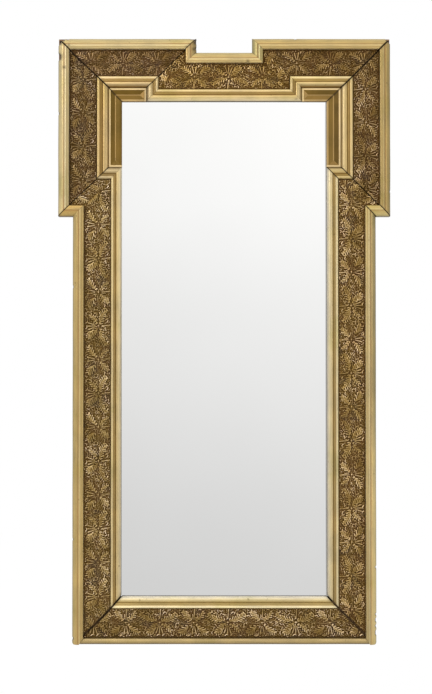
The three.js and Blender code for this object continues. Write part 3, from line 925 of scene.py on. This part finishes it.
# Dark stains on the leaf: the place along, the place across, and the radius. The first two
# on top_left are painted shade in a hole by the mitre.
STAINS_AND_SHADE = {
    "top_left": [(104, 27, 6), (96, 19, 4), (84, 8, 4), (440, 20, 4)],
    "notch_left": [(833, 26, 5), (842, 5, 6), (824, 7, 5)],
    "top_centre": [(-66, 27, 5)],
    "left_ear": [(-803, 4, 8), (-772, 17, 4)],
}
# Where the leaf is duller or brighter: from where to where along and across, and how bright.
# On notch_left the dulling is painted shade.
LIGHTER_OR_DARKER = {
    "right_stile": [(-190, 400, -1, 16.6, 0.74), (-900, -290, -1, 16.6, 1.22),
                    (-900, -560, 16.6, 31, 0.84)],
    "left_stile": [(280, 720, 16.6, 31, 1.14), (420, 900, -1, 16.6, 1.05)],
    "notch_left": [(700, 900, -1, 12, 0.86)],
}


def within(value, low, high, blur):
    """1 between two values and 0 outside, with blurred ends."""
    start = smooth_step(value, low - blur, low + blur)
    return start * smooth_step(-value, -high - blur, blur - high)


def brightness(name, along, local):
    """How bright the leaf is at each place on an old moulding."""
    light = np.ones_like(along)
    for start, end, low, high, level in LIGHTER_OR_DARKER.get(name, []):
        light *= 1 + (level - 1) * within(along, start, end, 50) * within(local, low, high, 1)
    return light


WAVE_DEPTH = 0.3
WAVE_LENGTH = 260
DRIFT = 0.5  # how far an outer edge wanders in, and over what length
DRIFT_LENGTH = 340
SPOT_DARKNESS = 0.7  # how dark a spot's middle is


def worn(name):
    """What waves an old moulding a little, chips its outer edge and stains it, with painted shade
    in a hole on one length.
    """
    def work(height, side, facts):
        seed = facts["seed"]
        along, local = facts["along"], facts["local"]
        height -= facts["at_front"] * WAVE_DEPTH * ripple(seed, WAVE_LENGTH)(along)
        side += DRIFT * ripple(seed + 50, DRIFT_LENGTH)(along) * smooth_step(-local, -6, 0)
        chip = np.zeros_like(height)
        for place, half, depth in CHIPS.get(name, []):
            near = np.clip(1 - np.abs(along - place) / half, 0, 1)
            jag = np.clip(0.7 + 0.6 * ripple(seed + 90, 5)(along), 0.2, 1)
            bite = smooth_step(near, 0, 0.6) * jag * depth
            reach = np.clip(1 - local / (depth + 3.0), 0, 1)
            side += bite * reach
            height -= facts["at_front"] * bite * reach
            chip = np.maximum(chip, np.clip(bite * reach * 1.6, 0, 1))
        height[:] = np.maximum(height, 0)
        dark_spot = np.zeros_like(height)
        for place, across, radius in STAINS_AND_SHADE.get(name, []):
            far = np.hypot(along - place, local - across) / radius
            dark_spot = np.maximum(dark_spot, SPOT_DARKNESS * np.exp(-far ** 2))
        return {"chip": chip, "crack": dark_spot, "light": brightness(name, along, local)}

    return work


# ---- the face

# The outline's corners, anticlockwise from the lower right: the place, which way the outline
# turns, and how wide the mitre there has opened.
CORNERS = [
    ((BODY_HALF, BOTTOM), "foot", FOOT_GAP),
    ((BODY_HALF, EAR_BOTTOM), "inward", 1.5),
    ((EAR_HALF, EAR_BOTTOM), "outward", 1.5),
    ((EAR_HALF, TOP), "outward", 2.8),
    ((NOTCH_HALF, TOP), "outward", SHUT),
    ((NOTCH_HALF, TOP - NOTCH_DEPTH), "inward", SHUT),
    ((-NOTCH_HALF, TOP - NOTCH_DEPTH), "inward", SHUT),
    ((-NOTCH_HALF, TOP), "outward", 1.4),
    ((-EAR_HALF, TOP), "outward", 2.6),
    ((-EAR_HALF, EAR_BOTTOM), "outward", 1.3),
    ((-BODY_HALF, EAR_BOTTOM), "inward", SHUT),
    ((-BODY_HALF, BOTTOM), "foot", FOOT_GAP),
]
# The lengths between them: the outer moulding's tone, the inner one's, and its finish. The
# tones are partly the old leaf's own uneven tone and partly painted light and shade, by how
# each length faces the light.
LENGTHS = [
    ("right_stile", (0.79, 0.81, 0.86), (0.81, 0.87, 0.98), gilt_inner),
    ("right_return", (0.98, 1.00, 0.96), (0.84, 0.83, 0.70), gilt_inner_upright_shade),
    ("right_ear", (0.60, 0.58, 0.52), (0.74, 0.73, 0.67), gilt_inner_upright_shade),
    ("top_right", (0.93, 0.92, 0.87), (1.20, 1.23, 1.23), gilt_inner_level_shade),
    ("notch_right", (0.53, 0.59, 0.60), (0.74, 0.73, 0.69), gilt_inner_upright_shade),
    ("top_centre", (1.02, 1.03, 1.02), (1.06, 1.05, 0.99), gilt_inner),
    ("notch_left", (0.66, 0.64, 0.64), (0.67, 0.67, 0.68), gilt_inner_upright_shade),
    ("top_left", (1.00, 1.05, 1.16), (1.15, 1.14, 1.19), gilt_inner_level_shade),
    ("left_ear", (0.74, 0.79, 0.94), (0.75, 0.70, 0.60), gilt_inner_upright_shade),
    ("left_return", (0.78, 0.71, 0.58), (0.70, 0.71, 0.75), gilt_inner_upright_shade),
    ("left_stile", (0.68, 0.66, 0.61), (0.81, 0.83, 0.83), gilt_inner),
]
FRIEZES = [
    ("right_stile", 0, 2, (0.92, 0.90, 0.85)),
    ("right_ear", 2, 3, (0.78, 0.76, 0.78)),
    ("top_right", 3, 4, (0.77, 0.73, 0.71)),
    ("top_centre", 4, 7, (0.91, 0.86, 0.71)),
    ("top_left", 7, 8, (0.80, 0.77, 0.92)),
    ("left_ear", 8, 9, (0.72, 0.71, 0.78)),
    ("left_stile", 9, 11, (0.94, 0.97, 1.02)),
]
STRIP_TONE = (0.76, 0.76, 0.80)
BASE_TONE = (0.86, 0.86, 0.86)  # the foliage along the foot
# The foot's inner moulding is made paler and cooler: painted light on its roll, which faces up.
SIGHT_TONE_AND_SHEEN = (1.15, 1.27, 1.48)  # the inner moulding there
# From one ring of points to the next.
OUTER_STEP = 3.0
INNER_STEP = 8.0
STRIP_STEP = 6.0
FRIEZE_STEP = 1.1
# Seeds of the wear, which go up by one from length to length.
OUTER_SEED = 30
INNER_SEED = 50
FRIEZE_SEED = 10
STRIP_SEED = 70
SIGHT_SEED = 71
FOOT_ROUND = 7.0
STRIP_CUT = 11.0  # how far the foot strip's slanting ends lean in under the stiles' mouldings
STAND_OFF = FOOT_GAP / 2 * math.sqrt(2)


def foot_line(across):
    """The stiles' mitres, which start at the corner of the glass."""
    return BASE_HEIGHT - BAND_WIDTH + across + STAND_OFF


def base_line(across):
    return np.maximum(BAND_WIDTH - BASE_HEIGHT + across + STAND_OFF, OUTER_WIDTH + SEAM)


def sawn_foot(across):
    """The foot of a stile's outer moulding: rounded outside, slanting inside."""
    in_round = np.clip(FOOT_ROUND - across, 0, None)
    rounding = FOOT_ROUND - np.sqrt(np.clip(FOOT_ROUND ** 2 - in_round ** 2, 0, None))
    slant = np.clip(across - (OUTER_WIDTH - STRIP_CUT), 0, None) * BASE_STRIP_WIDTH / STRIP_CUT
    return np.maximum(rounding, slant)


def strip_end(across):
    return OUTER_WIDTH - STRIP_CUT + 0.2 + across * STRIP_CUT / BASE_STRIP_WIDTH


def base_route(line, gap):
    return [((-BODY_HALF, BOTTOM), line), ((BODY_HALF, BOTTOM), line)], (gap, gap)


def route_between(first, last, foot, foot_gap):
    """The route between two corners, with the line and the joint that it has at the foot."""
    stops = []
    gaps = []
    for i in range(first, last + 1):
        place, kind, gap = CORNERS[i]
        if kind == "foot":
            stops.append((place, foot))
            gap = foot_gap
        else:
            slope = 1 if kind == "outward" else -1
            stops.append((place, mitre(slope, gap if i in (first, last) else 0.0)))
        gaps.append(gap)
    return stops, (gaps[0], gaps[-1])


def add_inner(name, route, start, finish, seed, tone):
    add_run(f"inner_{name}", f"inner_moulding_{name}", route, start, INNER.shape, INNER_STEP,
            finish, worn("inner"), seed, tone)


def add_frieze(name, route, start, width, seed, tone):
    """A band between the mouldings, a little crowned, with a point every millimetre."""
    places = np.append(np.arange(0, width - 0.6, 1.0), width)
    middle = width / 2
    crown = FRIEZE_CROWN * (1 - ((places - middle) / middle) ** 2)
    front = np.stack([places, FRIEZE_HEIGHT + crown], axis=-1)
    add_run(f"foliage_{name}", f"frieze_{name}", route, start + SEAM / 2, (front, places),
            FRIEZE_STEP, gilt_foliage, press, seed, tone, 75)


def add_face():
    for i, (name, outer_tone_and_light, inner_tone_and_light, finish) in enumerate(LENGTHS):
        route = route_between(i, i + 1, sawn_foot, SHUT)
        add_run(f"outer_{name}", f"outer_moulding_{name}", route, 0, OUTER.shape, OUTER_STEP,
                gilt_outer, worn(name), OUTER_SEED + i, outer_tone_and_light)
        route = route_between(i, i + 1, foot_line, FOOT_GAP)
        add_inner(name, route, INNER_AT, finish, INNER_SEED + i, inner_tone_and_light)
    for i, (name, first, last, tone) in enumerate(FRIEZES):
        route = route_between(first, last, foot_line, FOOT_GAP)
        add_frieze(name, route, OUTER_WIDTH, FRIEZE_WIDTH - SEAM, FRIEZE_SEED + i, tone)
    add_run("foot_strip", "base_strip", base_route(strip_end, SHUT), 0, STRIP.shape, STRIP_STEP,
            gilt_strip, worn("foot"), STRIP_SEED, STRIP_TONE)
    route = base_route(base_line, FOOT_GAP)
    width = BASE_INNER_AT - BASE_STRIP_WIDTH - SEAM
    add_frieze("base", route, BASE_STRIP_WIDTH, width, FRIEZE_SEED + len(FRIEZES), BASE_TONE)
    add_inner("base", route, BASE_INNER_AT, gilt_inner_base_shade, SIGHT_SEED, SIGHT_TONE_AND_SHEEN)


add_face()

# ---- corner panels

PANEL_STEP = 0.75
# Painted light on the panels: the valley's line and the rims are lighter.
VALLEY_SHADE = 0.62
RIM_SHADE = 0.93


def grid_faces(rows, columns):
    """Quads over a grid of points, and round its rim down to a second rim that backs it."""
    index = np.arange(rows * columns).reshape(rows, columns)
    front = np.stack([index[:-1, :-1], index[:-1, 1:], index[1:, 1:], index[1:, :-1]], axis=-1)
    rim = np.concatenate([index[0, :], index[1:, -1], index[-1, -2::-1], index[-2:0:-1, 0]])
    back = rows * columns + np.arange(len(rim))
    walls = np.stack([rim, back, np.roll(back, -1), np.roll(rim, -1)], axis=-1)
    faces = front.reshape(-1, 4)[:, ::-1].tolist() + walls.tolist() + [back.tolist()]
    return faces, rim


def add_panel(name, start, end, width, mitre_run, mitred_at, shades, seed, end_dirt=0.8):
    """A board with a sunk field that falls to a valley and is hipped at its square end.
    shades are its painted light and shade: how light its outer slope, its inner slope and its
    rim at the glass are, and end_dirt is how wide the dirt in the joint at its square end is."""
    outer_slope, inner_slope, glass_rim = shades
    start, length, ahead, inward = directions(start, end)
    across = np.linspace(SEAM, width, round(width / PANEL_STEP) + 1)
    low = np.full_like(across, SEAM)
    high = np.full_like(across, length - SEAM)
    if mitred_at == "start":
        low = mitre_run / width * across + 0.7
    else:
        high = length - mitre_run / width * across - 0.7
    shares = np.linspace(0, 1, round(length / PANEL_STEP) + 1)[:, None]
    on = low + shares * (high - low)
    a = np.broadcast_to(across, on.shape)
    hip = (on - SEAM) if mitred_at == "end" else (length - SEAM - on)
    outer_side, inner_side = a - SEAM, width - a
    sides = np.minimum(outer_side, inner_side)
    inside = np.minimum(sides, hip) - PANEL_MARGIN
    half = (width - SEAM) / 2 - PANEL_MARGIN
    sink = np.clip(inside / half, 0, 1) * PANEL_SINK
    ledge = np.clip(inside / 0.8, 0, 1) * 0.9
    height = PANEL_HEIGHT - ledge - sink
    # Painted light and shade on the slopes, the hip, a lighter valley line and the rims.
    slope = np.where(outer_side < inner_side, outer_slope, inner_slope)
    slope = np.where(hip < sides, inner_slope + 0.14, slope)
    valley = np.clip(1.3 - np.abs(inside / half - 1) * half / 1.7, 0, 1)
    at_glass = (inner_side < PANEL_MARGIN) & (hip > PANEL_MARGIN)
    rim_shade = np.where(at_glass, glass_rim, RIM_SHADE)
    shade = np.where(inside <= 0, rim_shade, slope + (VALLEY_SHADE - slope) * valley)
    joint = (on - low) if mitred_at == "start" else (high - on)
    # Dark at the joints, with painted shadow in the gap along the outer side under the moulding and
    # on the walls and back.
    crack = np.maximum(np.exp(-joint / 1.5), 0.8 * np.exp(-outer_side / 0.8))
    crack = np.maximum(crack, 0.95 * np.exp(-hip / end_dirt))
    plan = start + on[..., None] * ahead + a[..., None] * inward
    points = np.stack([plan[..., 0], FACE_BACK - height, plan[..., 1]], axis=-1).reshape(-1, 3)
    faces, rim = grid_faces(*on.shape)
    backs = points[rim] * (1, 0, 1) + (0, FACE_BACK, 0)
    course = np.stack([on, shade * SHADES, np.full_like(on, seed * 3.1)], axis=-1).reshape(-1, 3)
    count = len(rim)
    attributes = {
        "course": np.concatenate([course, course[rim]]),
        "crack": np.concatenate([crack.ravel(), np.ones(count)]),
        "chip": np.zeros(on.size + count),
        "tone": np.ones((on.size + count, 3)),
    }
    points = np.concatenate([points, backs])
    add_mesh(f"sunk_{name}", f"panel_{name}", points, faces, gilt_panel, attributes, 50)


def add_panels():
    side = EAR_HALF - BAND_WIDTH
    head = TOP - BAND_WIDTH
    foot = EAR_BOTTOM + BAND_WIDTH
    step = NOTCH_HALF + BAND_WIDTH
    w, h = EAR_HALF - BODY_HALF, NOTCH_DEPTH
    add_panel("right_upright", (side, foot), (side, head), w, h, "end", (0.0, 0.26, 0.64), 1)
    add_panel("right_level", (side, head), (step, head), h, w, "start", (0.25, 0.36, 0.66), 2)
    add_panel("left_level", (-step, head), (-side, head), h, w, "end", (0.14, 0.27, 0.66), 3, 2.2)
    add_panel("left_upright", (-side, head), (-side, foot), w, h, "start", (0.12, 0.13, 0.14), 4)


add_panels()

# ---- back


def dress(nodes, finish):
    """Gives carried-over pieces of the model their finish."""
    for name in nodes:
        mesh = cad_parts[name].data
        mesh.materials.clear()
        mesh.materials.append(finish)


for side in ("left", "right"):
    dress([f"carcass_{side}_stile", f"ear_block_{side}", f"glazing_fillet_{side}"], stile_pine)
    dress([f"hanger_strap_{side}", f"hanger_ring_{side}"], old_brass)
    dress([f"hanger_screw_{side}_lower", f"hanger_screw_{side}_upper"], old_iron)
for end in ("top", "base"):
    dress([f"carcass_{end}_rail", f"glazing_fillet_{end}"], rail_pine)
dress([f"backboard_{i}" for i in range(1, 6)], board_pine)
dress(["mirror_plate"], plate_finish)

# ---- room and light

FLOOR_HEIGHT = -1.16


def add_floor():
    mesh = bpy.data.meshes.new("floor")
    corners = [(x, y, FLOOR_HEIGHT) for x, y in ((-6, -3), (6, -3), (6, 6), (-6, 6))]
    mesh.from_pydata(corners, [], [(0, 1, 2, 3)])
    made, paint = material("floor_paper")
    path = [paint.node("LightPath", output=name) for name in ("Is Camera Ray", "Is Glossy Ray")]
    plain = paint.node("BsdfDiffuse", values={"Color": (0.9, 0.9, 0.9, 1)})
    glow = paint.node("Emission", values={"Color": (1, 1, 1, 1), "Strength": 1.0})
    seen = path[0].math("MAXIMUM", path[1]) * 0.97
    shader = paint.node("MixShader", values={0: seen, 1: plain, 2: glow})
    paint.node("OutputMaterial", values={"Surface": shader})
    mesh.materials.append(made)
    floor = place_in_scene("floor", mesh)


def grey_stops(levels):
    """Brightnesses by direction, from -1 to 1, as a ramp's stops."""
    return [((way + 1) / 2, (level, level, level, 1)) for way, level in levels]


def add_world():
    """White behind the object, and a room in front that is brightest above the eye and to
    the left."""
    world = bpy.data.worlds.new("room")
    bpy.context.scene.world = world
    paint = Paint(world)
    way = paint.node("TexCoord", output="Generated")
    x, z = (paint.node("SeparateXYZ", values={0: way}, output=axis) for axis in (0, 2))
    by_height = paint.ramp((z + 1.0) * 0.5, grey_stops([
        (-1.0, 0.5), (-0.5, 0.6), (-0.25, 0.66), (-0.129, 0.68), (-0.08, 0.727),
        (-0.017, 0.81), (0.045, 0.885), (0.108, 0.98), (0.17, 1.02), (0.3, 1.1), (0.5, 1.3),
        (0.7, 1.25), (0.9, 0.95), (1.0, 0.85)]))
    by_side = paint.ramp((x + 1.0) * 0.5, grey_stops([
        (-1.0, 1.25), (-0.6, 1.15), (-0.25, 1.02), (-0.06, 0.965), (0.06, 1.03), (0.25, 0.98),
        (0.6, 0.9), (1.0, 0.85)]))
    room = paint.tint(by_height, by_side)
    seen = paint.node("LightPath", output="Is Camera Ray")
    colour = paint.mix(seen, room, (1, 1, 1, 1))
    shade = paint.node("Background", values={"Color": colour, "Strength": 1.0})
    paint.node("OutputWorld", values={"Surface": shade})


def add_lamp(name, place, size, power):
    """A soft square lamp that faces the middle of the object."""
    data = bpy.data.lights.new(name, "AREA")
    data.size = size
    data.energy = power
    lamp = place_in_scene(name, data)
    lamp.location = place
    lamp.rotation_euler = (-lamp.location).to_track_quat("-Z", "Y").to_euler()


add_floor()
add_world()
add_lamp("key_lamp", (-2.2, -2.6, 1.9), 1.6, 50)
add_lamp("fill_lamp", (2.6, -2.6, 0.6), 1.6, 18)

bpy.context.scene.view_settings.view_transform = "Standard"
